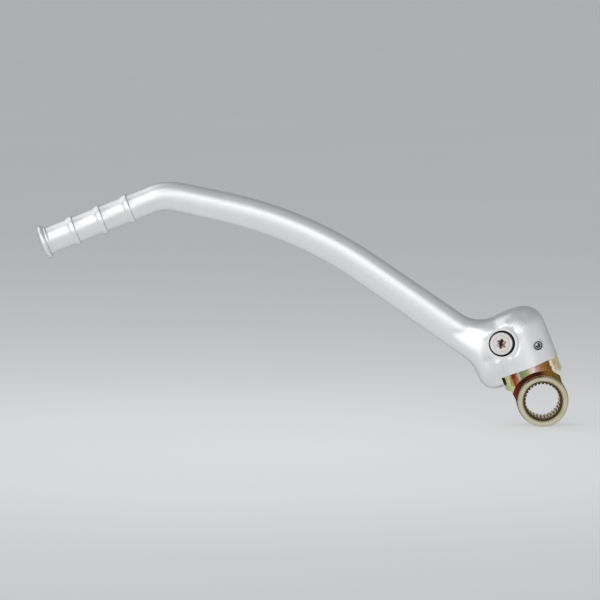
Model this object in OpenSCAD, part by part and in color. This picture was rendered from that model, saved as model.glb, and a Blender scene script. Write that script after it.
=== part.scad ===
// Folding kick start lever: a forged lever that swings on a splined steel joint piece.
// World frame: origin on the kick shaft axis, which is Y; the rider's side is -Y; Z is up.
// Fold frame: Z runs along the fold axis, X points away from the lever, Y is the kick shaft axis.

/* [Kick shaft eye] */
// Lean of the fold axis from upright, towards the lever
fold_tilt = 21.7; // [0:0.1:35]
// Outer diameter of the eye's two end rings
eye_d = 28.6; // [27.5:0.1:29.5]
// How far the hub between the end rings stands out beyond them
hub_step = 0.35; // [0.2:0.05:1.5]
// From the fold axis to the eye's front face
eye_front = 12; // [11:0.5:14]
// From the fold axis to the eye's rear face
eye_rear = 11; // [10:0.5:14]
// Diameter of the smooth counterbore at the front
pilot_d = 22; // [21.5:0.1:23]
// Depth of the counterbore
pilot_depth = 2.4; // [1.5:0.1:4]
// Diameter over the roots of the internal spline
spline_root_d = 21; // [20.4:0.1:21.2]
// Diameter between the tips of the internal spline
spline_tip_d = 19.4; // [18.8:0.1:19.8]
// Number of spline teeth
spline_teeth = 30; // [24:1:36]
// Chamfer on the eye's edges
eye_chamfer = 0.7; // [0.3:0.1:1]
// Length of the front end ring
front_ring_len = 5; // [4:0.1:6]
// Length of the rear end ring
rear_ring_len = 3; // [2:0.1:4]

/* [Collar and neck] */
// From the kick shaft axis to the joint face, along the fold axis
joint_height = 21.1; // [20:0.1:24]
// Diameter of the collar under the head
collar_d = 34; // [32:0.5:35]
// Thickness of the collar
collar_t = 9.4; // [7:0.1:10]
// Chamfer round the collar's lower edge
collar_chamfer = 1; // [0.5:0.1:2]
// How far the neck's flanks start inside the collar's sides
neck_step = 2.4; // [1.5:0.1:4]
// From the fold axis to the collar's front and rear flats
flat_y = 7.5; // [6:0.1:9]
// Diameter of the neck that stands out between the flats
neck_d = 27.2; // [26:0.1:29]
// Radius of the turned relief round the front ring
relief_r = 17.4; // [16.5:0.1:19]

/* [Spigot] */
// Diameter of the pivot spigot
spigot_d = 20; // [18:0.1:21]
// Length of the spigot above the joint face
spigot_len = 28.4; // [27.6:0.2:30]
// Radial running clearance of the spigot in the head
running_fit = 0.05; // [0.03:0.01:0.1]
// Clearance between the collar and the head's joint face
thrust_gap = 0.1; // [0.05:0.05:0.3]
// Clearance of the screws in the spigot's groove and waist
screw_gap = 0.3; // [0.2:0.05:0.5]
// Angle that the lever swings out through
swing = 90; // [60:5:100]

/* [Retaining screw and washer] */
// From the fold axis to the screw's axis
retainer_x = 10; // [9.6:0.1:10.4]
// Height of the screw above the kick shaft axis
retainer_z = 39.6; // [39:0.1:41]
// Thread diameter
retainer_d = 6; // [5:0.5:6.5]
// Length of the shank behind the washer
retainer_len = 23; // [20:0.5:24]
// Head diameter of the countersunk screw
retainer_head_d = 9.2; // [8.6:0.1:10]
// Height of the countersunk head
retainer_head_t = 1.9; // [1.6:0.1:2.1]
// Width over the points of the six-lobe socket
socket_d = 5.6; // [4.5:0.1:5.8]
// Depth of the six-lobe socket
socket_depth = 2.8; // [1.5:0.1:3.2]
// Diameter of the dished washer
washer_d = 13.2; // [12:0.1:14]
// Thickness of the dished washer
washer_t = 2.3; // [2.2:0.1:3]
// Radial gap between the washer and its recess
recess_gap = 0.85; // [0.3:0.05:1]
// From the fold axis to the washer's front face
washer_y = 13.9; // [13.4:0.1:14.4]
// How far the recess lies off the screw's axis, away from the arm
recess_shift = 0.4; // [0:0.05:0.5]
// Diameter of the faint spot face round the recess
spotface_d = 18; // [17:0.5:20]

/* [Stop screw] */
// From the fold axis to the stop screw's axis
stop_x = 8.9; // [8.6:0.1:9.4]
// Height of the stop screw above the kick shaft axis
stop_z = 31.1; // [30.7:0.1:31.5]
// Thread diameter
stop_d = 5; // [4:0.5:5.5]
// From the fold axis to the front end of the screw
stop_front = 14.1; // [13:0.1:14.5]
// Length of the screw
stop_len = 26; // [22:0.5:26.5]
// Width across the flats of its hexagon socket
stop_key = 2.5; // [2:0.5:2.5]

/* [Detent and seal] */
// Diameter of the detent ball
ball_d = 4; // [3:0.5:4.5]
// How far the ball stands out of the spigot
ball_out = 0.5; // [0.3:0.05:0.7]
// Height of the ball above the joint face
ball_rise = 25.5; // [25.2:0.1:25.8]
// Wire thickness of the detent spring
wire_d = 0.6; // [0.4:0.1:0.8]
// Number of turns of the detent spring
coil_turns = 5; // [3:1:6]
// Cord thickness of the spigot's seal ring
seal_t = 1.8; // [1.5:0.1:2]
// Height of the seal ring above the joint face
seal_rise = 3.4; // [3:0.1:4]

/* [Head of the lever] */
// Diameter of the round boss about the fold axis
boss_d = 35; // [34.4:0.1:38]
// Height of the head above the kick shaft axis
head_height = 54.2; // [54:0.2:58]
// Rounding of the head's top edge
head_corner_r = 11.7; // [8:0.1:13]
// From the fold axis to the head's side towards the arm
head_left = 29; // [28:0.1:33]
// Height of the lobe's underside above the kick shaft axis
lobe_height = 15.2; // [13:0.1:17]
// Rounding of the lobe's lower corner
lobe_r = 9.5; // [6:0.1:11]
// Half thickness of the head beside the boss
head_half_t = 14.3; // [13.8:0.1:15]
// Concave fillet between the head's top and the arm
top_fillet_r = 18; // [12:0.5:24]
// Concave fillet between the head's side and the arm
side_fillet_r = 20; // [14:0.5:26]
// Clearance between the collar and the lobe that hangs beside it
collar_gap = 0.35; // [0.3:0.05:0.8]

/* [Arm] */
// From the fold axis to the corner of the bend
bend_reach = 155.5; // [140:0.5:170]
// Height of the peg's axis above the kick shaft axis, along the fold axis
peg_height = 187.6; // [180:0.2:200]
// Radius of the bend between peg and arm
bend_r = 25; // [18:1:32]
// Slope of the arm's outer stretch from the peg's direction
outer_slope = 34; // [30:0.2:42]
// Slope of the arm's inner stretch from the peg's direction
inner_slope = 56.5; // [50:0.1:62]
// From the bend's corner to the start of the long curve
outer_run = 34.4; // [26:0.2:45]
// Radius of the long curve
arm_curve_r = 226; // [150:1:260]
// Width of the arm at the bend
arm_width_outer = 16.6; // [15.4:0.1:18]
// Width of the arm at the head
arm_width_inner = 19.5; // [17:0.1:21]
// Thickness of the arm at the bend
arm_thick_outer = 15.6; // [13:0.1:17]
// Thickness of the arm at the head
arm_thick_inner = 17; // [15:0.1:20]
// Squareness of the arm's forged section, where 2 is a true oval
arm_square = 2.5; // [2:0.1:3.5]

/* [Foot peg] */
// From the bend's corner to the tip of the peg
peg_len = 76.2; // [70:0.2:84]
// Diameter of the peg
peg_d = 15.2; // [14:0.1:17]
// Diameter of the end flange
flange_d = 19.4; // [18:0.1:22]
// Thickness of the flange at its rim
flange_t = 2.6; // [1.6:0.1:3]
// How far the peg's end face is domed
dome_h = 1.6; // [0.6:0.1:2]
// Diameter over the ribs
rib_d = 17.4; // [16.4:0.1:18.4]
// Length of one rib along the peg
rib_len = 4.2; // [3:0.1:5]
// From the tip to the first rib's crest
rib_first = 21.2; // [16:0.2:22]
// Distance from rib to rib
rib_pitch = 16.6; // [12:0.2:17]
// Number of ribs
rib_count = 3; // [2:1:3]

/* [Hidden] */
$fn = 64;

// Cuts run this far past the faces that they open, and conical ones this far
over = 1;
edge = 0.02;
// Points round one section of the arm and head
section_points = 36;
// The web's crest lies this far under the boss's top
web_drop = 0.3;
// Swell by which the bend's sections come out of the peg
blend = 0.3;
// Low bead behind the flange
bead_h = 0.5;
bead_len = 1.2;

// Small clearances: at the tip of a blind hole, round the ball, its track and its spring
tip_gap = 0.5;
ball_gap = 0.1;
track_gap = 0.3;
coil_gap = 0.2;
// Play of the seal ring along its groove, to each side
seal_play = 0.1;
// Chamfer on the ends of the screws and of the spigot
screw_chamfer = 0.5;
spigot_lead = 1;
// The turned relief stops this far in front of the flats
relief_land = 0.3;
// The neck's web ends this far inside the eye's outer face
web_sink = 1.1;
// Chamfers at the mouths of the counterbore and of the spline
mouth_chamfer = 0.8;
rear_chamfer = 1;

eye_r = eye_d / 2;
hub_r = eye_r + hub_step;
collar_r = collar_d / 2;
neck_r = neck_d / 2;
spigot_r = spigot_d / 2;
boss_r = boss_d / 2;
bore_r = spigot_r + running_fit;
collar_z = joint_height - collar_t;
spigot_z = joint_height + spigot_len;
spigot_clear = 1;
bore_top = spigot_z + spigot_clear;

retainer_r = retainer_d / 2;
stop_r = stop_d / 2;
thread_gap = 0.05;
washer_gap = 0.2;
// Upright edge of the countersunk head
head_edge = 0.3;
groove_r = retainer_x - retainer_r - screw_gap;
waist_r = stop_x - stop_r - screw_gap;
recess_floor_y = washer_y - washer_t;
recess_x = retainer_x - recess_shift;
// How far the spot face lies in front of the washer's face
spotface_drop = 0.1;
retainer_hole_end = washer_t + retainer_len - washer_y + tip_gap;

ball_r = ball_d / 2;
ball_z = joint_height + ball_rise;
// How far the cross hole runs past the fold axis
spring_room = 1;
ball_seat = spigot_r + ball_out - ball_r;
cross_hole_r = ball_r + ball_gap;
cross_hole_len = spigot_r + spring_room;
track_r = spigot_r + ball_out + track_gap;
pocket_depth = 0.4;
pocket_r = ball_r - 0.3;
coil_r = ball_r - coil_gap - wire_d / 2;
coil_len = cross_hole_len - spigot_r + ball_seat - ball_r;

seal_z = joint_height + seal_rise;
seal_gap = 0.06;
seal_groove_r = spigot_r - seal_t - seal_gap;
seal_space = seal_t + 2 * seal_play;

// Puts a piece drawn in the fold frame into the world frame
module fold_frame() {
    rotate([0, -fold_tilt, 0]) children();
}

// A round bar along -Y to +Y in the fold frame, from y0 to y1
module cross_bar(x, z, r, y0, y1) {
    translate([x, y0, z]) rotate([-90, 0, 0]) cylinder(r = r, h = y1 - y0);
}

// Centreline of the arm in the fold frame, from the peg to the head

// Direction of travel at a slope, and the normal on its upper side
function ahead(slope) = [cos(slope), -sin(slope)];
function upward(slope) = [sin(slope), cos(slope)];
function rad(a) = a * PI / 180;

bend_corner = [-bend_reach, peg_height];
bend_tangent = bend_r * tan(outer_slope / 2);
bend_start = bend_corner - bend_tangent * ahead(0);
curve_start = bend_corner + outer_run * ahead(outer_slope);
curve_end = curve_start + arm_curve_r * (upward(inner_slope) - upward(outer_slope));

// Point on an arc that turns down from one slope, starting at p
function arc_point(p, r, from, to) = p + r * (upward(to) - upward(from));

// Concave fillets that join the arm to the head's top and side
arm_half = arm_width_inner / 2;
web_height = head_height - web_drop;
top_centre_x = curve_end[0] + (arm_half + top_fillet_r
    - (web_height + top_fillet_r - curve_end[1]) * cos(inner_slope)) / sin(inner_slope);
top_centre = [top_centre_x, web_height + top_fillet_r];
side_centre_x = -head_left - side_fillet_r;
side_centre = [side_centre_x, curve_end[1] - (arm_half + side_fillet_r
    + (side_centre_x - curve_end[0]) * sin(inner_slope)) / cos(inner_slope)];

root_top = top_centre - top_fillet_r * upward(inner_slope);
root_bottom = root_top - arm_width_inner * upward(inner_slope);
side_start = side_centre + side_fillet_r * upward(inner_slope);
lobe_corner = [-head_left + lobe_r, lobe_height + lobe_r];

// Lower outline of the head, measured from the arm's root: edge, fillet, side, lobe corner
edge_len = norm(side_start - root_bottom);
fillet_len = side_fillet_r * rad(90 - inner_slope);
side_len = side_centre[1] - lobe_corner[1];
side_total = edge_len + fillet_len + side_len;
function lower_side(s) =
    s < edge_len ? root_bottom + s * ahead(inner_slope)
    : s < edge_len + fillet_len
        ? side_centre + side_fillet_r * upward(inner_slope + (s - edge_len) / side_fillet_r * 180 / PI)
        : [-head_left, side_centre[1] - (s - edge_len - fillet_len)];

// One section is [upper end, lower end, half thickness, squareness]
function smooth(t) = t * t * (3 - 2 * t);
function mix(a, b, t) = a + (b - a) * t;
arm_span = outer_run + arm_curve_r * rad(inner_slope - outer_slope) + norm(root_top - curve_end);
function arm_section(p, slope, s) =
    let (t = s / arm_span, half = mix(arm_width_outer, arm_width_inner, t) / 2)
    [p + half * upward(slope), p - half * upward(slope),
        mix(arm_thick_outer, arm_thick_inner, t) / 2, arm_square];

bend_steps = 8;
curve_steps = 12;
root_steps = 9;
lobe_steps = 7;
top_steps = 9;
head_square = 3.2;

// Fillet between the web and the boss: where it leaves the web, where it meets the boss, and how deep
fillet_from = 15;
fillet_to = 8;
fillet_sink = 0.25;
function boss_radius(z) =
    let (d = max(0, z - head_height + head_corner_r))
    boss_r - head_corner_r + sqrt(max(0, pow(head_corner_r, 2) - d * d));
function boss_depth(x, z) = sqrt(max(0, pow(boss_radius(z), 2) - x * x));
function filleted(x, depth, z) =
    let (t = min(1, max(0, (x + fillet_from) / (fillet_from - fillet_to))))
    depth + max(0, boss_depth(fillet_to, z) - fillet_sink - depth) * t * t;

// The bend's first sections start inside the peg and come out of it at a shallow angle
function peg_section(x, r) = [[x, peg_height + r], [x, peg_height - r], r, 2];
peg_sections = [
    peg_section(bend_start[0] - 2 * blend, peg_d / 2 - blend),
    peg_section(bend_start[0], peg_d / 2 + blend / 2)
];
bend_sections = [for (i = [1 : bend_steps])
    let (t = i / bend_steps, slope = outer_slope * t)
    let (p = arc_point(bend_start, bend_r, 0, slope), half = mix(peg_d + blend, arm_width_outer, t) / 2)
    [p + half * upward(slope), p - half * upward(slope),
        mix(peg_d + blend, arm_thick_outer, t) / 2, mix(2, arm_square, t)]];
curve_sections = [for (i = [0 : curve_steps])
    let (slope = mix(outer_slope, inner_slope, i / curve_steps))
    arm_section(arc_point(curve_start, arm_curve_r, outer_slope, slope), slope,
        outer_run + arm_curve_r * rad(slope - outer_slope))];
root_sections = [for (i = [0 : root_steps])
    let (t = i / root_steps)
    [top_centre - top_fillet_r * upward(inner_slope * (1 - t)), lower_side(side_total * t),
        mix(arm_thick_inner / 2, head_half_t, smooth(t)), mix(arm_square, head_square, t)]];
lobe_top_x = -spigot_r / 2;
lobe_sections = [for (i = [1 : lobe_steps])
    let (t = i / lobe_steps)
    [[mix(top_centre[0], lobe_top_x, t), web_height], lobe_corner - lobe_r * upward(90 * (1 - t)),
        head_half_t, head_square]];
top_sections = [for (i = [1 : top_steps])
    let (t = i / top_steps, x = boss_r - head_corner_r)
    [[mix(lobe_top_x, x, t), web_height], [mix(lobe_corner[0], x, t), lobe_height],
        mix(head_half_t, boss_r / 2, t), head_square]];

sections = concat(peg_sections, bend_sections, curve_sections, root_sections, lobe_sections, top_sections);

// Raises a cosine or sine to the power that squares off an oval, keeping its sign
function squared(v, n) = sign(v) * pow(abs(v), 2 / n);

// The points of one section, from its upper end round the front to its lower end and back
function section_ring(s) = [for (k = [0 : section_points - 1])
    let (a = 360 * (k + 0.5) / section_points, c = (s[0] + s[1]) / 2)
    let (p = c + (s[0] - s[1]) / 2 * squared(cos(a), s[3]), depth = s[2] * abs(squared(sin(a), s[3])))
    [p[0], -sign(sin(a)) * filleted(p[0], depth, p[1]), p[1]]];

// A closed solid through a row of rings that all have the same number of points
module skin(rings) {
    n = len(rings[0]);
    last = (len(rings) - 1) * n;
    sides = [for (i = [0 : len(rings) - 2], k = [0 : n - 1])
        let (a = i * n + k, b = i * n + (k + 1) % n)
        each [[a, b + n, b], [a, a + n, b + n]]];
    near_end = [[for (k = [0 : n - 1]) k]];
    far_end = [[for (k = [0 : n - 1]) last + n - 1 - k]];
    polyhedron(points = [for (r = rings) each r], faces = concat(sides, near_end, far_end), convexity = 6);
}

// The forging's arm, root and lobe
module arm_and_web() {
    skin([for (s = sections) section_ring(s)]);
}

// The round boss about the fold axis, with its rounded top
module boss() {
    top_r = boss_r - head_corner_r;
    side_h = head_height - head_corner_r - joint_height;
    translate([0, 0, joint_height]) rotate_extrude() {
        square([boss_r, side_h]);
        square([top_r, side_h + head_corner_r]);
        translate([top_r, side_h]) intersection() {
            circle(r = head_corner_r);
            square(head_corner_r + over);
        }
    }
}

// Half outline of one rib: a long ramp on the tip's side and a short one on the other
module rib_outline(x) {
    crest = rib_d / 2;
    root = peg_d / 2;
    ramp = rib_len * 0.6;
    back = rib_len - ramp;
    crown = rib_len * 0.15;
    shoulder = crest - (crest - root) * 0.15;
    polygon([
        [root - over, x - ramp], [root, x - ramp], [shoulder, x - crown], [crest, x],
        [shoulder, x + crown], [root, x + back], [root - over, x + back]
    ]);
}

// The foot peg, turned about its own axis, from the domed tip to the start of the bend
module peg() {
    stock_r = peg_d / 2;
    rim = flange_d / 2;
    round_r = flange_t / 2;
    dome_r = (pow(rim - round_r, 2) + pow(dome_h, 2)) / (2 * dome_h);
    translate([bend_corner[0] - peg_len, 0, peg_height]) rotate([0, 90, 0]) {
        rotate_extrude() {
            translate([0, dome_h]) square([stock_r, peg_len - bend_tangent - dome_h]);
            translate([0, dome_h]) square([rim - round_r, flange_t]);
            translate([rim - round_r, dome_h + round_r]) circle(r = round_r);
            intersection() {
                translate([0, dome_r]) circle(r = dome_r, $fn = 128);
                square([rim - round_r, dome_h]);
            }
            translate([0, dome_h + flange_t]) square([stock_r + bead_h, bead_len]);
            for (i = [0 : rib_count - 1]) rib_outline(rib_first + i * rib_pitch);
        }
    }
}

module lever_arm() {
    color("gainsboro") fold_frame() difference() {
        union() {
            arm_and_web();
            boss();
            peg();
        }
        // Joint face, and the flat wall of the lobe that hangs beside the collar
        translate([-collar_r - collar_gap, -boss_r - over, -over])
            cube([collar_r + collar_gap + boss_r + over, boss_d + 2 * over, joint_height + thrust_gap + over]);
        // Blind bore for the spigot
        translate([0, 0, joint_height]) cylinder(r = bore_r, h = bore_top - joint_height);
        // Track and pockets of the detent ball
        translate([0, 0, ball_z - ball_r]) cylinder(r = track_r, h = ball_d);
        for (a = [180, 180 - swing])
            translate([0, 0, ball_z]) rotate([0, 90, a]) cylinder(r = pocket_r, h = track_r + pocket_depth);
        // Retaining screw: spot face, washer recess and tapped hole
        cross_bar(-recess_x, retainer_z, spotface_d / 2, -boss_r - over, -washer_y - spotface_drop);
        cross_bar(-recess_x, retainer_z, washer_d / 2 + recess_gap, -boss_r - over, -recess_floor_y);
        cross_bar(-retainer_x, retainer_z, retainer_r + thread_gap, -boss_r, retainer_hole_end);
        // Stop screw: tapped hole
        cross_bar(stop_x, stop_z, stop_r + thread_gap, -boss_r - over, stop_len - stop_front + tip_gap);
    }
}

// Outline of the neck's web from the collar down to the eye, seen from the front
module neck_outline() {
    hull() {
        circle(r = eye_r - web_sink);
        translate([neck_step - collar_r, collar_z]) square([collar_d - 2 * neck_step, collar_chamfer]);
    }
}

// Section of the spigot where the stop screw runs: two flats joined by a round, square to the swing's ends
module waist_section() {
    intersection() {
        circle(r = spigot_r);
        union() {
            circle(r = waist_r);
            translate([-spigot_d, -spigot_d]) square([spigot_d, spigot_d + waist_r]);
            translate([-spigot_d, -spigot_d]) square([spigot_d + waist_r, spigot_d]);
        }
    }
}

// The steel spigot with its seal groove, stop waist, retaining groove and cross hole
module spigot() {
    waist_lo = stop_z - stop_r - screw_gap;
    waist_hi = stop_z + stop_r + screw_gap;
    groove_lo = retainer_z - retainer_r - screw_gap;
    groove_hi = retainer_z + retainer_r + screw_gap;
    difference() {
        union() {
            translate([0, 0, joint_height - over]) cylinder(r = spigot_r, h = waist_lo - joint_height + over);
            translate([0, 0, waist_lo]) linear_extrude(waist_hi - waist_lo) waist_section();
            translate([0, 0, waist_hi]) cylinder(r = spigot_r, h = groove_lo - waist_hi);
            translate([0, 0, groove_lo]) cylinder(r = groove_r, h = groove_hi - groove_lo);
            translate([0, 0, groove_hi]) cylinder(r = spigot_r, h = spigot_z - spigot_lead - groove_hi);
            translate([0, 0, spigot_z - spigot_lead])
                cylinder(r1 = spigot_r, r2 = spigot_r - spigot_lead, h = spigot_lead);
        }
        translate([0, 0, seal_z - seal_space / 2]) difference() {
            cylinder(r = spigot_r + over, h = seal_space);
            translate([0, 0, -over]) cylinder(r = seal_groove_r, h = seal_space + 2 * over);
        }
        translate([cross_hole_len - spigot_r, 0, ball_z]) rotate([0, -90, 0])
            cylinder(r = cross_hole_r, h = cross_hole_len + over);
    }
}

// Internal spline: round between the tooth tips, with a V-shaped space between each two teeth
module spline_space() {
    tip_r = spline_tip_d / 2;
    root_r = spline_root_d / 2;
    pitch = 360 / spline_teeth;
    inner_r = tip_r - 0.4;
    mouth = pitch * 0.3;
    root = pitch * 0.12;
    circle(r = tip_r);
    for (i = [0 : spline_teeth - 1]) rotate(i * pitch)
        polygon([
            inner_r * [cos(mouth), -sin(mouth)], root_r * [cos(root), -sin(root)],
            root_r * [cos(root), sin(root)], inner_r * [cos(mouth), sin(mouth)]
        ]);
}

// Half outline of the eye's outside, turned about the kick shaft axis
module eye_outline() {
    c = eye_chamfer;
    hub_front = front_ring_len - eye_front;
    hub_rear = eye_rear - rear_ring_len;
    polygon([
        [0, -eye_front], [eye_r - c, -eye_front], [eye_r, -eye_front + c],
        [eye_r, hub_front], [hub_r, hub_front + hub_step], [hub_r, hub_rear - hub_step], [eye_r, hub_rear],
        [eye_r, eye_rear - c], [eye_r - c, eye_rear], [0, eye_rear]
    ]);
}

// The collar, neck and web between the spigot and the eye
module collar_and_neck() {
    difference() {
        union() {
            translate([0, 0, collar_z])
                cylinder(r1 = collar_r - collar_chamfer, r2 = collar_r, h = collar_chamfer);
            translate([0, 0, collar_z + collar_chamfer]) cylinder(r = collar_r, h = collar_t - collar_chamfer);
            rotate([90, 0, 0]) linear_extrude(2 * flat_y, center = true) neck_outline();
        }
        for (side = [-1, 1])
            translate([-collar_d, side * (flat_y + collar_r) - collar_r, -collar_d])
                cube([2 * collar_d, collar_d, 4 * collar_d]);
    }
    cylinder(r = neck_r, h = joint_height);
}

module joint_piece() {
    color("darkkhaki") difference() {
        union() {
            difference() {
                fold_frame() collar_and_neck();
                // Turned relief that frees the front and rear rings
                for (end = [-1, 1]) scale([1, end, 1]) rotate([-90, 0, 0]) rotate_extrude()
                    translate([0, flat_y + relief_land]) square([relief_r, 2 * collar_r]);
            }
            rotate([-90, 0, 0]) rotate_extrude() eye_outline();
            fold_frame() spigot();
        }
        rotate([-90, 0, 0]) {
            translate([0, 0, -eye_front - over]) cylinder(r = pilot_d / 2, h = pilot_depth + over);
            translate([0, 0, -eye_front]) linear_extrude(eye_front + eye_rear + over) spline_space();
            translate([0, 0, -eye_front - edge]) cylinder(
                r1 = pilot_d / 2 + mouth_chamfer + edge, r2 = pilot_d / 2, h = mouth_chamfer + edge);
            translate([0, 0, eye_rear - rear_chamfer]) cylinder(
                r1 = spline_root_d / 2, r2 = spline_root_d / 2 + rear_chamfer + edge, h = rear_chamfer + edge);
        }
    }
}

// A six-lobe socket outline
module six_lobe(d) {
    valley_r = d * 0.15;
    valley_x = d * 0.54;
    difference() {
        circle(r = d / 2);
        for (i = [0 : 5]) rotate(60 * i + 30) translate([valley_x, 0]) circle(r = valley_r);
    }
}

module retaining_screw() {
    tip = washer_t + retainer_len - screw_chamfer;
    color("silver") fold_frame() translate([-retainer_x, -washer_y, retainer_z]) rotate([-90, 0, 0])
        difference() {
            union() {
                cylinder(r = retainer_head_d / 2, h = head_edge);
                translate([0, 0, head_edge])
                    cylinder(r1 = retainer_head_d / 2, r2 = retainer_r, h = retainer_head_t - head_edge);
                cylinder(r = retainer_r, h = tip);
                translate([0, 0, tip])
                    cylinder(r1 = retainer_r, r2 = retainer_r - screw_chamfer, h = screw_chamfer);
            }
            translate([0, 0, -over]) linear_extrude(socket_depth + over) six_lobe(socket_d);
        }
}

module retaining_washer() {
    hole_r = retainer_r + washer_gap;
    seat_r = retainer_head_d / 2 + washer_gap / 2;
    seat_floor = retainer_head_t + edge;
    rim = 0.4;
    color("whitesmoke") fold_frame() translate([-retainer_x, -washer_y, retainer_z]) rotate([-90, 0, 0])
        rotate_extrude() difference() {
            polygon([
                [hole_r, 0], [washer_d / 2 - rim, 0], [washer_d / 2, rim],
                [washer_d / 2, washer_t], [hole_r, washer_t]
            ]);
            polygon([
                [hole_r - over, -over], [seat_r, -over], [seat_r, head_edge + edge],
                [hole_r - washer_gap / 2, seat_floor], [hole_r - over, seat_floor]
            ]);
        }
}

module stop_screw() {
    c = screw_chamfer;
    color("dimgray") fold_frame() translate([stop_x, -stop_front, stop_z]) rotate([-90, 0, 0])
        difference() {
            union() {
                cylinder(r1 = stop_r - c, r2 = stop_r, h = c);
                translate([0, 0, c]) cylinder(r = stop_r, h = stop_len - 2 * c);
                translate([0, 0, stop_len - c]) cylinder(r1 = stop_r, r2 = stop_r - c, h = c);
            }
            translate([0, 0, -over]) cylinder(r = stop_key / sqrt(3), h = stop_key + over, $fn = 6);
        }
}

module detent_ball() {
    color("lightsteelblue") fold_frame() translate([-ball_seat, 0, ball_z]) sphere(r = ball_r);
}

module detent_spring() {
    steps = 12;
    turns = coil_turns;
    wire_points = 6;
    pitch = (coil_len - wire_d) / turns;
    rings = [for (i = [0 : turns * steps])
        let (a = 360 * i / steps, rise = wire_d / 2 + pitch * i / steps)
        [for (k = [0 : wire_points - 1])
            let (w = 360 * k / wire_points, r = coil_r + wire_d / 2 * cos(w))
            [r * cos(a), r * sin(a), rise + wire_d / 2 * sin(w)]]];
    color("gray") fold_frame() translate([cross_hole_len - spigot_r, 0, ball_z]) rotate([0, -90, 0]) skin(rings);
}

module spigot_seal() {
    color("black") fold_frame() translate([0, 0, seal_z]) rotate_extrude()
        translate([spigot_r - seal_t / 2, 0]) circle(r = seal_t / 2);
}

lever_arm();
joint_piece();
retaining_screw();
retaining_washer();
stop_screw();
detent_ball();
detent_spring();
spigot_seal();
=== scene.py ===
"""Folding kick start lever: forged aluminium lever on a plated steel joint piece."""
import math

import bpy
import numpy as np
from mathutils import Matrix, Vector


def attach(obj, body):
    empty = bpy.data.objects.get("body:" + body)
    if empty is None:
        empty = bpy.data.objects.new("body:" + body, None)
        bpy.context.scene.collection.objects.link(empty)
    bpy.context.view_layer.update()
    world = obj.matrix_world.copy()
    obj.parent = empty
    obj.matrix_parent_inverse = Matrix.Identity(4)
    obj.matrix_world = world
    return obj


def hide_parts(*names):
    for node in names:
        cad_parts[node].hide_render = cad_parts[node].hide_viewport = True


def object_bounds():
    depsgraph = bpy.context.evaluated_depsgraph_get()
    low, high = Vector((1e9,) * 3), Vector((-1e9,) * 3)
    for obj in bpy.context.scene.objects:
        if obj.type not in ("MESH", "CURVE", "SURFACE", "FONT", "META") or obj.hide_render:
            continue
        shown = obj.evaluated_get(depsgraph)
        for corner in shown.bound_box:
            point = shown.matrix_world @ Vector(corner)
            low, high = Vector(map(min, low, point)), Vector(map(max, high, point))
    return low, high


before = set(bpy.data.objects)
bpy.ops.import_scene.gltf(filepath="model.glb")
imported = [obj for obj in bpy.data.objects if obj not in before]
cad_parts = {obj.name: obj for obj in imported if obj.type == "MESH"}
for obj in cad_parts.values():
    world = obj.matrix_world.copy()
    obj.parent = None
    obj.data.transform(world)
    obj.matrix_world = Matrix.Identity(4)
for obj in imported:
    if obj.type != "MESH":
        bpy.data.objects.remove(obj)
cad_bounds = [list(corner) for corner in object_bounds()]
MM = 0.001
# A length past all of the part
FAR = 1.0

# Fold frame: Z runs up the pivot, which leans from upright, and X points away from the lever
fold_tilt = math.radians(21.7)
fold_frame = Matrix.Rotation(-fold_tilt, 4, "Y")
to_fold = np.array(fold_frame.inverted().to_3x3())

# Joint piece: the colour changes just past these places on the eye, between painted shade in the relief and
# the bore, the pale turned ring and painted glints on the teeth. A name in r is a distance from the kick
# shaft's axis, and a name in y is one from the eye's middle along the shaft.
tooth_tip_r = 9.72 * MM
bore_mouth_r = 11.1 * MM
bore_mouth_y = 11.6 * MM
eye_r = 14.34 * MM
ring_r = 15 * MM
ring_y = 8.1 * MM
relief_r = 17.3 * MM

# Machined places of the lever, in the fold frame: the joint's slot ends at the collar's side and at its face
collar_side = 17.35 * MM
joint_face = 21.2 * MM
bore_r = 10.05 * MM
bore_top = 50.5 * MM
ball_height = 46.6 * MM
ball_track_r = 10.8 * MM
ball_track_half = 2 * MM
spotface_r = 9 * MM
spotface_y = 14 * MM
recess_r = 7.45 * MM
recess_floor = 11.6 * MM

# Screws, and the axes of their holes across the lever as (X, Z) in the fold frame
retainer_r = 3 * MM
retainer_socket_r = 2.9 * MM
stop_r = 2.5 * MM
screw_clearance = 0.05 * MM
retainer_axis = (-10 * MM, 39.6 * MM)
recess_axis = (-9.6 * MM, 39.6 * MM)
stop_axis = (8.9 * MM, 31.1 * MM)

# Foot peg: its axis lies along X at peg_height, and its turned outline runs from the tip towards the bend
peg_height = 187.6 * MM
peg_tip = 231.7 * MM
peg_length = 59.8 * MM
peg_r = 7.6 * MM
first_rib = 21.2 * MM
rib_pitch = 16.6 * MM
rib_count = 3

# Forging: the arm is cut off inside the turned peg, and remeshed with cells of one size. Its faces look
# smooth where they meet at less than the shade angle.
arm_end = 174 * MM
forging_cell = 0.55 * MM
shade_angle = math.radians(32)

# Camera: a long lens that looks along the kick shaft and slightly down
view_distance = 2.5
view_dip = math.radians(5.5)
pixels_per_mm = 1.76
picture_size = 600
sensor_width = 36
# Where the kick shaft's axis shows in the picture, from the left and from the top
axis_pixel = (542.0, 399.2)

# Floor: a painted pool of light lies round the part, and a share of its colour glows by itself
floor_size = 60
pool_centre = (-0.13, -0.1)
pool_reach = 1.3
floor_glow = 0.55


def deselect_all():
    for item in bpy.context.selected_objects:
        item.select_set(False)


def make_active(item):
    deselect_all()
    item.select_set(True)
    bpy.context.view_layer.objects.active = item


def apply_modifiers(item):
    make_active(item)
    for modifier in list(item.modifiers):
        bpy.ops.object.modifier_apply(modifier=modifier.name)


def apply_place(item):
    make_active(item)
    bpy.ops.object.transform_apply(location=True, rotation=True, scale=True)


def mm(*values):
    """Millimetres to metres, as a tuple."""
    return tuple(value * MM for value in values)


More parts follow.
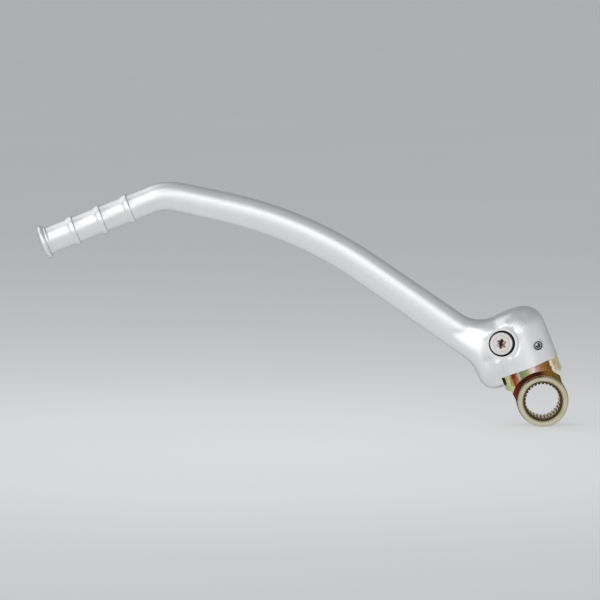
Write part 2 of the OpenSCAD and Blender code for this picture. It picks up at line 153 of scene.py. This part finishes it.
def fade(values, start, full):
    """Rises from 0 at start to 1 at full, and stays there."""
    return np.clip((values - start) / (full - start), 0, 1)


def fold_cylinder(name, radius, ends, axis=(0, 0), along="Z", vertices=96):
    """A cylinder in the fold frame, between two ends along Z or along Y, on an axis given square to it."""
    middle = (ends[0] + ends[1]) / 2
    if along == "Z":
        spot = Vector((axis[0], axis[1], middle))
        turn = Matrix()
    else:
        spot = Vector((axis[0], middle, axis[1]))
        turn = Matrix.Rotation(math.pi / 2, 4, "X")
    bpy.ops.mesh.primitive_cylinder_add(vertices=vertices, radius=radius, depth=ends[1] - ends[0])
    bar = bpy.context.object
    bar.name = name
    bar.matrix_world = fold_frame @ Matrix.Translation(spot) @ turn
    apply_place(bar)
    return bar


def fold_block(name, low, high):
    """A block in the fold frame from its low corner to its high corner."""
    low = Vector(low)
    high = Vector(high)
    bpy.ops.mesh.primitive_cube_add(size=1)
    block = bpy.context.object
    block.name = name
    sizes = Matrix.Diagonal((*(high - low), 1))
    block.matrix_world = fold_frame @ Matrix.Translation((low + high) / 2) @ sizes
    apply_place(block)
    return block


def combine(item, tool, operation, solver="MANIFOLD"):
    """Joins or cuts one piece with a tool body, which is then thrown away."""
    boolean = item.modifiers.new(operation.lower(), "BOOLEAN")
    boolean.operation = operation
    boolean.solver = solver
    boolean.object = tool
    apply_modifiers(item)
    bpy.data.objects.remove(tool)


def lathe(name, outline, steps=96):
    """Spins an outline of (radius, height) points, from the origin on, about Z into a closed solid."""
    bpy.ops.mesh.primitive_plane_add(size=2 * MM)
    turned = bpy.context.object
    turned.name = name
    bpy.ops.object.mode_set(mode="EDIT")
    bpy.ops.mesh.select_all(action="SELECT")
    bpy.ops.mesh.merge(type="CENTER")
    # The outline is drawn out of that one vertex, a point at a time
    for (radius, height), (next_radius, next_height) in zip(outline, outline[1:]):
        step = (next_radius - radius, 0, next_height - height)
        bpy.ops.mesh.extrude_region_move(TRANSFORM_OT_translate={"value": step})
    bpy.ops.mesh.select_all(action="SELECT")
    bpy.ops.mesh.spin(steps=steps, angle=2 * math.pi, center=(0, 0, 0), axis=(0, 0, 1))
    bpy.ops.mesh.select_all(action="SELECT")
    bpy.ops.mesh.remove_doubles(threshold=0.002 * MM)
    bpy.ops.mesh.normals_make_consistent(inside=False)
    bpy.ops.object.mode_set(mode="OBJECT")
    return turned


def flange_outline():
    """Domed face and rounded rim of the peg's end flange, down to its root bead."""
    points = [
        (0, 0), (2.5, 0.1), (5, 0.36), (7, 0.75), (8.2, 1.2), (9, 1.65), (9.5, 2.1), (9.7, 2.65),
        (9.7, 3.2), (9.56, 3.75), (9.2, 4.15), (8.7, 4.32), (8.15, 4.4), (8.02, 4.55), (8.12, 4.85),
        (8.2, 5.2), (8.12, 5.6), (7.85, 5.95), (7.66, 6.25), (7.6, 6.7),
    ]
    return [(radius * MM, height * MM) for radius, height in points]


def rib_outline(crest):
    """One rib: a long ramp on the tip's side, a flat crown at its crest, and a short fall behind it."""
    rises = [
        (0, -3.4), (0.08, -3.05), (0.35, -2.45), (0.7, -1.7), (0.85, -1.4), (0.92, -1.1), (1.0, -0.5),
        (1.04, 0.3), (0.98, 0.6), (0.8, 0.76), (0.2, 0.98), (0.06, 1.1), (0, 1.35),
    ]
    return [(peg_r + rise * MM, crest + along * MM) for rise, along in rises]


def turned_peg():
    """The foot peg with its flange and ribs, as one solid about its own axis."""
    outline = flange_outline()
    for rib in range(rib_count):
        outline += rib_outline(first_rib + rib * rib_pitch)
    outline += [(peg_r, peg_length - 0.3 * MM), (peg_r - 0.2 * MM, peg_length), (0, peg_length)]
    peg = lathe("turned_peg", outline)
    lay_down = Matrix.Rotation(math.pi / 2, 4, "Y")
    peg.matrix_world = fold_frame @ Matrix.Translation((-peg_tip, 0, peg_height)) @ lay_down
    apply_place(peg)
    return peg


def fold_points(lever):
    """The lever's vertices in the fold frame, in millimetres, one row for each."""
    flat = np.empty(len(lever.data.vertices) * 3)
    lever.data.vertices.foreach_get("co", flat)
    return flat.reshape(-1, 3) @ to_fold.T / MM


def near_line(points, start, end):
    """Distance of points from a line between two places, all on the head's face."""
    start = np.array(start)
    along = np.array(end) - start
    share = np.clip((points - start) @ along / (along @ along), 0, 1)
    return np.linalg.norm(points - start - share[:, None] * along, axis=1)


def press_forging(lever):
    """Raises the low ridges of the forging die on the head, and presses its hollows, front and back."""
    points = fold_points(lever)
    face = points[:, [0, 2]]
    # Nothing moves near the middle plane, where front and back meet
    side = np.sign(points[:, 1]) * fade(abs(points[:, 1]), 5, 10)
    # Each ridge or hollow runs between two (X, Z) places, with a width and a height
    marks = [
        ((-15.9, 30), (-14.6, 18), 1.5, 0.55), ((-20.6, 33), (-19.2, 17), 2.3, -0.85),
        ((-8.5, 31), (-8.5, 19), 2.6, -0.5), ((-2.2, 43.5), (7, 49.6), 2.1, -1.0),
        ((7, 49.6), (10.8, 51), 1.7, -0.5), ((-17, 47.5), (-4, 49.6), 2.2, 0.6),
        ((-31.5, 54.2), (-25, 51.6), 1.8, -0.4),
    ]
    for start, end, width, height in marks:
        points[:, 1] += side * height * np.exp(-(near_line(face, start, end) / width) ** 2)
    # The end of the arm shrinks a little, so that it sits inside the turned peg
    shrink = 1 - 0.006 * fade(points[:, 0], -167, -171)
    peg_z = peg_height / MM
    points[:, 1] *= shrink
    points[:, 2] = peg_z + (points[:, 2] - peg_z) * shrink
    lever.data.vertices.foreach_set("co", (points * MM @ to_fold).ravel())
    lever.data.update()


def all_but_peg(x):
    """1 on the forging, and falls to nothing at the end that the turned peg covers."""
    return fade(x, -171, -163)


def head_only(x):
    """1 from the arm's root to past the head's middle, and fades out on either side."""
    return fade(x, -40, -28) * fade(x, 14, 6)


def smooth_forging(lever, name, weight, times):
    """Smooths the forging by weight(x), where x is a vertex's X in the fold frame, in millimetres."""
    group = lever.vertex_groups.new(name=name)
    for index, share in enumerate(weight(fold_points(lever)[:, 0])):
        if share > 0:
            group.add([index], share, "REPLACE")
    smooth = lever.modifiers.new(name, "SMOOTH")
    smooth.vertex_group = name
    smooth.factor = 0.5
    smooth.iterations = times
    apply_modifiers(lever)
    lever.vertex_groups.clear()


def put_back_stock(lever):
    """Puts stock back where faces are machined, so that they come out crisp, and takes the CAD peg off."""
    # Each plug fills its machined place with a little to spare
    stock = [
        fold_cylinder("bore_stock", 11.5 * MM, mm(16, 51)),
        fold_cylinder("boss_stock", 17.49 * MM, mm(15.5, 24)),
        fold_block("lobe_stock", mm(-21, -12.5, 17), mm(-8, 12.5, 23)),
        fold_cylinder("recess_stock", 9.2 * MM, mm(-14.3, -9), recess_axis, "Y"),
        fold_cylinder("screw_stock", 3.3 * MM, mm(-12, 12.5), retainer_axis, "Y", 32),
        fold_cylinder("stop_stock", 2.8 * MM, mm(-14.9, 12.9), stop_axis, "Y", 32),
    ]
    for plug in stock:
        combine(lever, plug, "UNION", "EXACT")
    peg_cut = fold_block("peg_cut", mm(-250, -20, 160), (-arm_end, 20 * MM, 210 * MM))
    combine(lever, peg_cut, "DIFFERENCE", "EXACT")


def machine_lever(lever):
    """Cuts the joint's slot and bore, the ball's track, and the places of the washer and both screws."""
    in_front = -30 * MM
    behind = 30 * MM
    track_ends = (ball_height - ball_track_half, ball_height + ball_track_half)
    screw_hole_r = retainer_r + screw_clearance
    stop_hole_r = stop_r + screw_clearance
    cuts = [
        fold_block("joint_slot", (-collar_side, in_front, -10 * MM), (40 * MM, behind, joint_face)),
        fold_cylinder("bore", bore_r, (10 * MM, bore_top)),
        fold_cylinder("ball_track", ball_track_r, track_ends),
        fold_cylinder("spot_face", spotface_r, (in_front, -spotface_y), recess_axis, "Y"),
        fold_cylinder("recess", recess_r, (in_front, -recess_floor), recess_axis, "Y"),
        fold_cylinder("screw_hole", screw_hole_r, mm(-20, 11.9), retainer_axis, "Y", 48),
        fold_cylinder("stop_hole", stop_hole_r, (in_front, 12.4 * MM), stop_axis, "Y", 48),
    ]
    for cut in cuts:
        combine(lever, cut, "DIFFERENCE")


def forged_lever():
    """The lever as a forging: blended all over, then machined where the joint and its screws need it."""
    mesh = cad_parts["lever_arm"].data.copy()
    lever = bpy.data.objects.new("forged_lever", mesh)
    bpy.context.collection.objects.link(lever)
    make_active(lever)
    bpy.ops.object.mode_set(mode="EDIT")
    bpy.ops.mesh.select_all(action="SELECT")
    bpy.ops.mesh.remove_doubles(threshold=0.001 * MM)
    bpy.ops.object.mode_set(mode="OBJECT")
    put_back_stock(lever)
    remesh = lever.modifiers.new("remesh", "REMESH")
    remesh.mode = "VOXEL"
    remesh.voxel_size = forging_cell
    apply_modifiers(lever)
    smooth_forging(lever, "all_but_peg", all_but_peg, 24)
    smooth_forging(lever, "head_only", head_only, 45)
    press_forging(lever)
    combine(lever, turned_peg(), "UNION")
    machine_lever(lever)
    make_active(lever)
    bpy.ops.object.shade_smooth_by_angle(angle=shade_angle)
    lever.data.materials.clear()
    lever.data.materials.append(blasted_aluminium())
    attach(lever, "lever_body")
    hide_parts("lever_arm")


class Nodes:
    """Adds nodes to the tree of a new material or world and links them."""

    def __init__(self, block, shader="Principled BSDF"):
        block.use_nodes = True
        self.block = block
        self.tree = block.node_tree
        self.shader = self.tree.nodes[shader]
        self.places = self.add("ShaderNodeTexCoord").outputs
        self.coordinates = self.places["Object"]

    def fill(self, socket, value):
        """Links a socket to another one, or gives it a value."""
        if isinstance(value, bpy.types.NodeSocket):
            self.tree.links.new(value, socket)
        else:
            socket.default_value = value

    def add(self, kind, inputs=None, **settings):
        node = self.tree.nodes.new(kind)
        for key, value in settings.items():
            setattr(node, key, value)
        for key, value in (inputs or {}).items():
            self.fill(node.inputs[key], value)
        return node

    def finish(self, **sockets):
        """Fills the shader's own sockets and returns the material or world."""
        for name, value in sockets.items():
            self.fill(self.shader.inputs[name.replace("_", " ")], value)
        return self.block

    def noise(self, scale, detail=3, roughness=0.5):
        return self.add("ShaderNodeTexNoise", {
            "Vector": self.coordinates, "Scale": scale, "Detail": detail, "Roughness": roughness,
        }).outputs["Fac"]

    def ramp(self, factor, stops):
        node = self.add("ShaderNodeValToRGB", {"Fac": factor})
        elements = node.color_ramp.elements
        while len(elements) < len(stops):
            elements.new(0.5)
        for element, (position, colour) in zip(elements, stops):
            element.position = position
            element.color = (*colour, 1)
        return node.outputs["Color"]

    def spread(self, factor, low, high, start=0.0, end=1.0):
        """Low where the factor is at start, high where it is at end, and even between them."""
        return self.add("ShaderNodeMapRange", {
            "Value": factor, "From Min": start, "From Max": end, "To Min": low, "To Max": high,
        }).outputs["Result"]

    def number(self, operation, first, second=0.0):
        return self.add("ShaderNodeMath", {0: first, 1: second}, operation=operation).outputs[0]

    def plus(self, first, second):
        return self.number("ADD", first, second)

    def times(self, first, second):
        return self.number("MULTIPLY", first, second)

    def waves(self, value, per_metre):
        """A wave along a value, with its radians for each metre."""
        return self.number("SINE", self.times(value, per_metre))

    def between(self, value, low, high, soft):
        """1 where the value lies from low to high, 0 elsewhere, with soft ends."""
        rise = self.spread(value, 0.0, 1.0, low - soft, low)
        fall = self.spread(value, 1.0, 0.0, high, high + soft)
        return self.times(rise, fall)

    def blend(self, share, first, second):
        """Second colour over the first by a share, each a colour or a socket."""
        node = self.add("ShaderNodeMix", {0: share}, data_type="RGBA")
        # A Mix node has its two colours at sockets 6 and 7
        for index, colour in ((6, first), (7, second)):
            is_socket = isinstance(colour, bpy.types.NodeSocket)
            self.fill(node.inputs[index], colour if is_socket else (*colour, 1))
        return node.outputs[2]

    def split(self, vector):
        return self.add("ShaderNodeSeparateXYZ", {0: vector}).outputs

    def fold_place(self, axis=(0, 0)):
        """Place in the fold frame, measured from an axis at (X, Z) across it, as X, Y and Z sockets."""
        turned = self.add("ShaderNodeMapping", {
            "Vector": self.coordinates, "Rotation": (0, fold_tilt, 0), "Location": (-axis[0], 0, -axis[1]),
        }).outputs["Vector"]
        return self.split(turned)

    def reach(self, first, second):
        """Distance from an axis, from the two distances square to it."""
        return self.number("SQRT", self.plus(self.times(first, first), self.times(second, second)))

    def bump(self, height, distance, strength, normal=None):
        inputs = {"Height": height, "Distance": distance, "Strength": strength}
        if normal:
            inputs["Normal"] = normal
        return self.add("ShaderNodeBump", inputs).outputs["Normal"]


def material_nodes(name):
    return Nodes(bpy.data.materials.new(name))


def blasted_aluminium():
    """Bead-blasted skin with a fine grain, and painted shade in the washer's recess down to its floor."""
    n = material_nodes("blasted_aluminium")
    colour = n.ramp(n.noise(110, 4, 0.55), [(0.3, (0.885, 0.89, 0.90)), (0.7, (0.915, 0.92, 0.93))])
    grain = n.noise(2600, 2, 0.6)
    pits = n.noise(900, 3, 0.6)
    place = n.fold_place(recess_axis)
    # Painted shade: inside the washer's recess the lever is made near black, from the screw's hole out to
    # the recess's wall and down to its floor
    recess = n.between(n.reach(place["X"], place["Z"]), retainer_r, recess_r + 0.06 * MM, 0.05 * MM)
    deep = n.between(place["Y"], -spotface_y + 0.3 * MM, 0, 0.5 * MM)
    # Blasted metal is darker where it is seen at a grazing angle
    return n.finish(
        Base_Color=n.blend(n.times(recess, deep), colour, (0.03, 0.028, 0.026)),
        Metallic=0.9,
        Roughness=n.spread(pits, 0.33, 0.43),
        Specular_Tint=(0.5, 0.51, 0.53, 1),
        Normal=n.bump(grain, 0.03 * MM, 0.5, n.bump(pits, 0.04 * MM, 0.4)),
    )


def neck_tints_and_reflections(n, across):
    """Plating of neck and collar, smoked in patches, with tints that change from one side to the other: the
    plating's own tints, with painted highlights and painted shade in bands across it.
    """
    # Painted reflections: the pale rose and white bands stand for highlights on the collar's facets and
    # edges, and the dark red and brown bands for shade, over the plating's own tints
    tints = n.ramp(across, [
        (0.0, (0.42, 0.47, 0.20)), (0.13, (0.66, 0.67, 0.36)), (0.17, (0.45, 0.12, 0.06)),
        (0.24, (0.60, 0.20, 0.10)), (0.28, (0.85, 0.66, 0.55)), (0.33, (0.20, 0.32, 0.12)),
        (0.44, (0.45, 0.50, 0.24)), (0.52, (0.88, 0.72, 0.70)), (0.61, (0.66, 0.36, 0.32)),
        (0.70, (0.42, 0.20, 0.06)), (0.82, (0.30, 0.14, 0.04)), (0.85, (0.88, 0.78, 0.68)),
        (1.0, (0.72, 0.66, 0.36)),
    ])
    smoky = n.spread(n.noise(620, 4, 0.7), 0.0, 0.75, 0.5, 0.72)
    return n.blend(smoky, tints, (0.10, 0.05, 0.02))


def eye_tints_shade_and_glints(n, colour, across, radius, depth):
    """Painted shade in the relief round the eye and in the bore, pale turned rings, and painted glints on
    the tips of the teeth.
    """
    # Painted shade: the relief round the eye is coloured from dark maroon to near black across it
    relief_shade = n.ramp(across, [
        (0.15, (0.16, 0.03, 0.02)), (0.3, (0.05, 0.012, 0.008)), (0.45, (0.10, 0.02, 0.012)),
        (0.6, (0.04, 0.012, 0.008)), (0.72, (0.22, 0.11, 0.02)), (0.86, (0.16, 0.12, 0.03)),
        (1.0, (0.04, 0.02, 0.01)),
    ])
    ring = n.ramp(n.noise(90, 2), [
        (0.3, (0.54, 0.54, 0.32)), (0.5, (0.64, 0.61, 0.48)), (0.7, (0.58, 0.53, 0.33)),
    ])
    fine = 0.02 * MM
    colour = n.blend(n.between(radius, 0, relief_r, 0.15 * MM), colour, relief_shade)
    face = n.between(radius, 0, eye_r, fine)
    proud = n.between(depth, ring_y, FAR, 0.1 * MM)
    on_ring = n.times(n.number("MAXIMUM", face, proud), n.between(radius, 0, ring_r, fine))
    colour = n.blend(on_ring, colour, ring)
    # Painted shade: the bore is coloured dark brown from its mouth inwards
    bore_shade = n.between(radius, 0, bore_mouth_r, 0.04 * MM)
    bore_shade = n.times(bore_shade, n.between(depth, 0, bore_mouth_y, 0.2 * MM))
    colour = n.blend(bore_shade, colour, (0.10, 0.05, 0.018))
    # Painted glints: the tips of the teeth are coloured bright gold
    return n.blend(n.between(radius, 0, tooth_tip_r, fine), colour, (0.62, 0.46, 0.22))


def burr_marks(n, place, drift):
    """Share of rough crossed marks on the flat to the right of the neck, by place in the fold frame."""
    slant = n.waves(n.plus(place["X"], place["Z"]), 5200.0)
    other = n.waves(n.number("SUBTRACT", place["X"], place["Z"]), 6100.0)
    hatch = n.spread(n.plus(n.times(slant, other), drift), 0.0, 1.0, 0.45, 0.65)
    spot = n.between(place["X"], 13.1 * MM, 15.9 * MM, 0.3 * MM)
    spot = n.times(spot, n.between(place["Z"], 13.5 * MM, 20.2 * MM, 0.4 * MM))
    spot = n.times(spot, n.between(place["Y"], -8 * MM, -7 * MM, 0.1 * MM))
    return n.times(spot, hatch)


def plated_steel():
    """Yellow zinc plating, whose tint drifts from green through red and rose to amber across the neck,
    partly its own iridescence and partly painted highlights, reflections and shade.
    """
    n = material_nodes("plated_steel")
    place = n.fold_place()
    shaft = n.split(n.coordinates)
    radius = n.reach(shaft["X"], shaft["Z"])
    depth = n.number("ABSOLUTE", shaft["Y"])
    drift = n.noise(240, 3, 0.6)
    across = n.spread(place["X"], 0.0, 1.0, -collar_side, collar_side)
    across = n.plus(across, n.spread(drift, -0.055, 0.055))
    colour = eye_tints_shade_and_glints(n, neck_tints_and_reflections(n, across), across, radius, depth)
    colour = n.blend(burr_marks(n, place, drift), colour, (0.30, 0.22, 0.05))
    marks = n.noise(1500, 2, 0.6)
    turning = n.waves(radius, 14000.0)
    return n.finish(
        Base_Color=colour,
        Metallic=1.0,
        Roughness=n.spread(marks, 0.26, 0.38),
        Normal=n.bump(turning, 0.004 * MM, 0.25, n.bump(marks, 0.02 * MM, 0.4)),
    )


def marked_steel(n, tint, low, high):
    """Steel of a tint with fine marks, whose roughness goes from low to high."""
    marks = n.noise(1200, 3, 0.6)
    return n.finish(
        Base_Color=tint,
        Metallic=1.0,
        Roughness=n.spread(marks, low, high),
        Normal=n.bump(marks, 0.01 * MM, 0.3),
    )


def plain_steel(name, colour, low, high):
    n = material_nodes(name)
    tint = n.ramp(n.noise(260, 2), [(0.3, tuple(0.85 * part for part in colour)), (0.7, colour)])
    return marked_steel(n, tint, low, high)


def screw_steel():
    """Bright plated head, a duller shank, and a brown socket painted with shade and glints in patches."""
    n = material_nodes("screw_steel")
    place = n.fold_place(retainer_axis)
    radius = n.reach(place["X"], place["Z"])
    bright = n.ramp(n.noise(300, 2), [(0.3, (0.78, 0.74, 0.70)), (0.7, (0.88, 0.85, 0.82))])
    # Painted shade and painted glints: the socket goes in patches from near black to pale brown
    socket_shade_and_glints = n.ramp(n.noise(420, 1), [
        (0.4, (0.05, 0.03, 0.022)), (0.5, (0.26, 0.18, 0.14)), (0.62, (0.75, 0.64, 0.58)),
    ])
    below_head = n.between(place["Y"], -13.0 * MM, FAR, 0.1 * MM)
    shank = n.times(below_head, n.between(radius, retainer_socket_r, FAR, 0.05 * MM))
    tint = n.blend(shank, bright, (0.45, 0.42, 0.38))
    below_face = n.between(place["Y"], -13.85 * MM, 0, 0.04 * MM)
    socket = n.times(n.between(radius, 0, retainer_socket_r, 0.02 * MM), below_face)
    return marked_steel(n, n.blend(socket, tint, socket_shade_and_glints), 0.3, 0.42)


def stop_steel():
    """Blackened headless screw, paler in a ring round its socket, with a painted glint on one side of the
    socket's floor.
    """
    n = material_nodes("stop_steel")
    place = n.fold_place(stop_axis)
    rim = n.between(n.reach(place["X"], place["Z"]), 1.35 * MM, 2.0 * MM, 0.2 * MM)
    pale_ring = n.times(rim, n.between(place["Y"], -15 * MM, -13.9 * MM, 0.1 * MM))
    dark = n.ramp(n.noise(600, 2), [(0.3, (0.05, 0.05, 0.055)), (0.7, (0.12, 0.12, 0.13))])
    tint = n.blend(pale_ring, dark, (0.34, 0.34, 0.36))
    # Painted glint: the socket's floor is bright on one side
    aside = n.reach(n.plus(place["X"], 0.55 * MM), n.number("SUBTRACT", place["Z"], 0.5 * MM))
    painted_glint = n.between(aside, 0, 0.55 * MM, 0.25 * MM)
    return marked_steel(n, n.blend(painted_glint, tint, (0.85, 0.85, 0.87)), 0.18, 0.3)


def black_rubber():
    n = material_nodes("black_rubber")
    specks = n.noise(3000, 2)
    return n.finish(
        Base_Color=n.ramp(specks, [(0.3, (0.015, 0.015, 0.016)), (0.7, (0.03, 0.03, 0.032))]),
        Roughness=0.6,
        Normal=n.bump(specks, 0.01 * MM, 0.3),
    )


def pale_floor():
    """A matt floor that shows pale to the eye and in the metal, and keeps a share of the shadow."""
    n = material_nodes("pale_floor")
    matt = n.ramp(n.noise(3, 2), [(0.3, (0.72, 0.72, 0.72)), (0.7, (0.74, 0.74, 0.74))])
    n.finish(Base_Color=matt, Roughness=0.9)
    ray = n.add("ShaderNodeLightPath").outputs
    seen = n.number("MAXIMUM", ray["Is Camera Ray"], ray["Is Glossy Ray"])
    seen = n.number("MAXIMUM", seen, ray["Is Transmission Ray"])
    # Painted pool of light: the floor's glow is palest round the part and falls off from there
    place = n.split(n.coordinates)
    away = n.reach(n.plus(place["X"], -pool_centre[0]), n.plus(place["Y"], -pool_centre[1]))
    painted_light_pool = n.ramp(n.spread(away, 0.0, 1.0, 0.0, pool_reach), [
        (0.0, (0.89, 0.90, 0.91)), (0.15, (0.83, 0.84, 0.85)), (0.3, (0.68, 0.69, 0.70)),
        (0.5, (0.57, 0.58, 0.59)), (0.75, (0.52, 0.53, 0.54)), (1.0, (0.50, 0.51, 0.52)),
    ])
    pale = n.add("ShaderNodeEmission", {"Color": painted_light_pool}).outputs[0]
    share = n.times(seen, floor_glow)
    both = n.add("ShaderNodeMixShader", {0: share, 1: n.shader.outputs[0], 2: pale}).outputs[0]
    n.tree.links.new(both, n.tree.nodes["Material Output"].inputs["Surface"])
    return n.block


def studio_world():
    """Pale at the horizon, greyer overhead, and dimmer behind the part than in front of it."""
    n = Nodes(bpy.data.worlds.new("studio"), "Background")
    direction = n.split(n.places["Generated"])
    greys = ((0.0, 0.80), (0.2, 0.74), (0.55, 0.46), (1.0, 0.42))
    sky = n.ramp(direction["Z"], [(up, (grey, grey * 1.005, grey * 1.02)) for up, grey in greys])
    return n.finish(Color=sky, Strength=n.spread(direction["Y"], 1.0, 0.72, -0.2, 0.6))


def paint(node, material):
    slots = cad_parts[node].data.materials
    slots.clear()
    slots.append(material)


def add_camera():
    """Looks along the kick shaft from the front, with the shaft's axis at its place in the picture."""
    forward = Vector((0, math.cos(view_dip), -math.sin(view_dip)))
    right = Vector((1, 0, 0))
    up = right.cross(forward)
    half = picture_size / 2
    aside = (half - axis_pixel[0]) / pixels_per_mm * MM
    above = (axis_pixel[1] - half) / pixels_per_mm * MM
    place = right * aside + up * above - forward * view_distance
    bpy.ops.object.camera_add(location=place, rotation=(math.pi / 2 - view_dip, 0, 0))
    camera = bpy.context.object
    camera.data.sensor_width = sensor_width
    camera.data.lens = sensor_width * view_distance / MM * pixels_per_mm / picture_size
    camera.data.clip_end = 100
    bpy.context.scene.camera = camera


def add_lamp(name, place, target, size, power):
    """A soft rectangular lamp, with its width and height, turned to a target."""
    bpy.ops.object.light_add(type="AREA", location=place)
    light = bpy.context.object
    light.name = name
    light.data.shape = "RECTANGLE"
    light.data.size = size[0]
    light.data.size_y = size[1]
    light.data.energy = power
    light.rotation_euler = (Vector(target) - Vector(place)).to_track_quat("-Z", "Y").to_euler()


def add_stage():
    """Floor under the part's lowest point, the world's light and three lamps."""
    floor_z = min(corner[2] for corner in cad_bounds)
    bpy.ops.mesh.primitive_plane_add(size=floor_size, location=(0, 0, floor_z))
    floor = bpy.context.object
    floor.name = "floor"
    floor.data.materials.append(pale_floor())
    bpy.context.scene.world = studio_world()
    middle = (-0.13, 0, 0.09)
    add_lamp("key", place=(-0.9, -0.95, 0.62), target=middle, size=(0.8, 1.5), power=4.8)
    add_lamp("front", place=(0.15, -1.6, 0.55), target=middle, size=(1.0, 1.0), power=2.5)
    add_lamp("left", place=(-0.85, 0.35, 0.75), target=(-0.25, 0, 0.1), size=(1.0, 1.0), power=2.0)


deselect_all()
bpy.context.scene.view_settings.view_transform = "Standard"
add_camera()
add_stage()
forged_lever()
paint("joint_piece", plated_steel())
paint("retaining_screw", screw_steel())
paint("retaining_washer", plain_steel("washer_steel", (0.88, 0.85, 0.82), 0.32, 0.42))
paint("stop_screw", stop_steel())
paint("detent_ball", plain_steel("ball_steel", (0.75, 0.76, 0.78), 0.08, 0.14))
paint("detent_spring", plain_steel("spring_steel", (0.5, 0.5, 0.52), 0.2, 0.3))
paint("spigot_seal", black_rubber())
